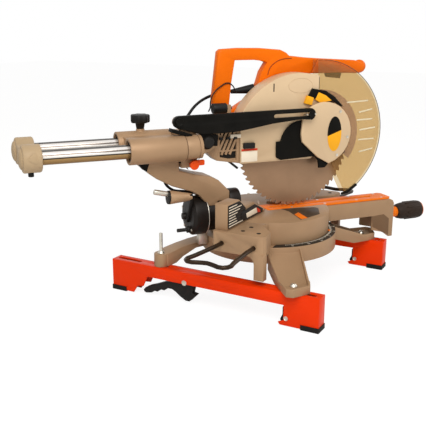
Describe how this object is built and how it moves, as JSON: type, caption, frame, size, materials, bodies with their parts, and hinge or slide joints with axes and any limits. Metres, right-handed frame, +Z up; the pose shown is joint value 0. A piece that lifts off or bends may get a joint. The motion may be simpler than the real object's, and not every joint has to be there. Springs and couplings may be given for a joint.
{
  "type": "miter saw on quick mount stand brackets",
  "caption": "Sliding compound miter saw bolted on channel stand brackets with foot caps and quick release levers, head down, turned right, with bevel arm, twin rails and extension wires.",
  "frame": {"origin": "middle of the footprint, mains cord left out, on the floor under the foot caps", "axes": "+X to the right of a user in front of the fence, +Y to the rear, +Z up; the fence runs along X and the saw is turned 51.7 degrees to the right"},
  "size_m": [0.912, 0.7366, 0.58],
  "materials": {
    "orange_paint": "gloss powder coat",
    "orange_plastic": "satin moulded",
    "cast_silver": "satin casting",
    "dark_casting": "matt casting",
    "scale_plate": "matt with pale marks",
    "cream_plastic": "satin moulded",
    "black_plastic": "fine grain",
    "black_rubber": "matt",
    "black_steel": "semi-gloss black",
    "zinc_steel": "zinc plated",
    "rail_chrome": "polished",
    "arbor_steel": "machined",
    "blade_steel": "ground",
    "clear_guard": "smoked clear plastic"
  },
  "bodies": {
    "stand_and_base": {"base": "cast_silver", "miter_scale": "scale_plate", "left_fence": "cast_silver", "right_fence": "cast_silver", "left_fence_face": "black_plastic", "left_bracket": "orange_paint", "right_bracket": "orange_paint", "left_front_cap": "black_rubber", "left_rear_cap": "black_rubber", "right_front_cap": "black_rubber", "right_rear_cap": "black_rubber", "left_saddle": "black_rubber", "right_saddle": "black_rubber", "front_left_bolt": "zinc_steel", "front_right_bolt": "zinc_steel", "rear_left_bolt": "zinc_steel", "rear_right_bolt": "zinc_steel", "mains_cord": "black_rubber", "cord_coil": "black_rubber", "plug": "black_plastic"},
    "left_lever": {"left_lever": "black_plastic"},
    "right_lever": {"right_lever": "black_plastic"},
    "left_wire": {"left_wire": "black_steel"},
    "right_wire": {"right_wire": "black_steel"},
    "turntable": {"turntable": "cast_silver", "kerf_plate": "orange_plastic", "miter_pointer": "orange_plastic", "lock_collar": "orange_plastic", "bevel_pivot_bolt": "dark_casting"},
    "miter_handle": {"miter_handle": "black_plastic"},
    "bevel_arm": {"bevel_arm": "cast_silver", "bevel_barrel": "dark_casting", "arm_lead": "black_rubber"},
    "bevel_handle": {"bevel_handle": "zinc_steel"},
    "detent_pin": {"bevel_detent_pin": "black_plastic"},
    "rail_knob": {"rail_knob": "black_plastic"},
    "carriage": {"left_rail": "rail_chrome", "right_rail": "rail_chrome", "rear_cap": "cream_plastic", "front_block": "cast_silver", "pivot_shaft": "dark_casting"},
    "hold_down": {"hold_down_knob": "orange_plastic"},
    "link": {"link_arm": "black_steel"},
    "head": {"head_arm": "cast_silver", "upper_guard": "cast_silver", "arbor_cover": "black_plastic", "guard_cover": "cast_silver", "gearbox": "cast_silver", "motor_housing": "orange_plastic", "carry_handle": "orange_plastic", "front_grip": "orange_plastic", "strain_relief": "black_rubber", "head_lead": "black_rubber"},
    "trigger": {"trigger": "black_plastic"},
    "lock_button": {"lock_button": "black_plastic"},
    "depth_knob": {"depth_knob": "black_plastic"},
    "lower_guard": {"lower_guard": "clear_guard"},
    "blade": {"blade": "blade_steel", "arbor": "arbor_steel"}
  },
  "joints": [
    {"name": "left_lever_swing", "type": "hinge", "parent": "stand_and_base", "child": "left_lever", "pos_m": [-0.16665, 0.03056, 0.054], "axis": [1, 0, 0], "range_deg": [0, 17]},
    {"name": "right_lever_swing", "type": "hinge", "parent": "stand_and_base", "child": "right_lever", "pos_m": [0.29275, 0.03056, 0.054], "axis": [1, 0, 0], "range_deg": [0, 17]},
    {"name": "left_wire_slide", "type": "slide", "parent": "stand_and_base", "child": "left_wire", "axis": [-1, 0, 0], "range_m": [-0.01, 0.04]},
    {"name": "right_wire_slide", "type": "slide", "parent": "stand_and_base", "child": "right_wire", "axis": [1, 0, 0], "range_m": [-0.01, 0.04]},
    {"name": "miter", "type": "hinge", "parent": "stand_and_base", "child": "turntable", "pos_m": [0.06305, -0.06544, 0.192], "axis": [0, 0, 1], "range_deg": [-97, 0]},
    {"name": "miter_lock", "type": "hinge", "parent": "turntable", "child": "miter_handle", "pos_m": [0.36519, -0.30405, 0.142], "axis": [0.7848, -0.6198, 0], "range_deg": [-120, 120]},
    {"name": "bevel", "type": "hinge", "parent": "turntable", "child": "bevel_arm", "pos_m": [-0.08057, 0.04798, 0.192], "axis": [0.7848, -0.6198, 0], "range_deg": [0, 45], "deforming": ["arm_lead"]},
    {"name": "bevel_lock", "type": "hinge", "parent": "bevel_arm", "child": "bevel_handle", "pos_m": [-0.10646, 0.06844, 0.192], "axis": [0.7848, -0.6198, 0], "range_deg": [0, 50]},
    {"name": "bevel_detent", "type": "slide", "parent": "bevel_arm", "child": "detent_pin", "axis": [-0.7848, 0.6198, 0], "range_m": [0, 0.008], "stiffness_N_per_m": 500},
    {"name": "rail_lock", "type": "hinge", "parent": "bevel_arm", "child": "rail_knob", "pos_m": [-0.15055, 0.16913, 0.4], "axis": [0, 0, 1], "range_deg": [0, 180]},
    {"name": "rail_slide", "type": "slide", "parent": "bevel_arm", "child": "carriage", "axis": [0.7848, -0.6198, 0], "range_m": [0, 0.18]},
    {"name": "hold_down", "type": "slide", "parent": "carriage", "child": "hold_down", "axis": [-0.6198, -0.7848, 0], "range_m": [0, 0.012]},
    {"name": "chop", "type": "hinge", "parent": "carriage", "child": "head", "pos_m": [-0.08057, 0.04798, 0.374], "axis": [-0.6198, -0.7848, 0], "range_deg": [0, 40], "deforming": ["head_lead"]},
    {"name": "link_follow", "type": "hinge", "parent": "carriage", "child": "link", "pos_m": [-0.16727, 0.05275, 0.424], "axis": [-0.6198, -0.7848, 0], "range_deg": [0, 34]},
    {"name": "guard_follow", "type": "hinge", "parent": "head", "child": "lower_guard", "pos_m": [0.15482, -0.15575, 0.37], "axis": [-0.6198, -0.7848, 0], "range_deg": [-40.5, 0]},
    {"name": "blade_spin", "type": "hinge", "parent": "head", "child": "blade", "pos_m": [0.11484, -0.10634, 0.3456], "axis": [0.6198, 0.7848, 0], "continuous": true},
    {"name": "trigger_pull", "type": "slide", "parent": "head", "child": "trigger", "axis": [0, 0, 1], "range_m": [0, 0.004], "stiffness_N_per_m": 300},
    {"name": "lock_off", "type": "slide", "parent": "head", "child": "lock_button", "axis": [-0.6198, -0.7848, 0], "range_m": [0, 0.003], "stiffness_N_per_m": 300},
    {"name": "depth_stop", "type": "hinge", "parent": "head", "child": "depth_knob", "pos_m": [-0.02956, 0.0077, 0.444], "axis": [0.7848, -0.6198, 0], "range_deg": [-180, 180]}
  ],
  "couplings": [
    {"joint": "link_follow", "follows": "chop", "ratio": 0.8228},
    {"joint": "guard_follow", "follows": "chop", "ratio": -1}
  ]
}
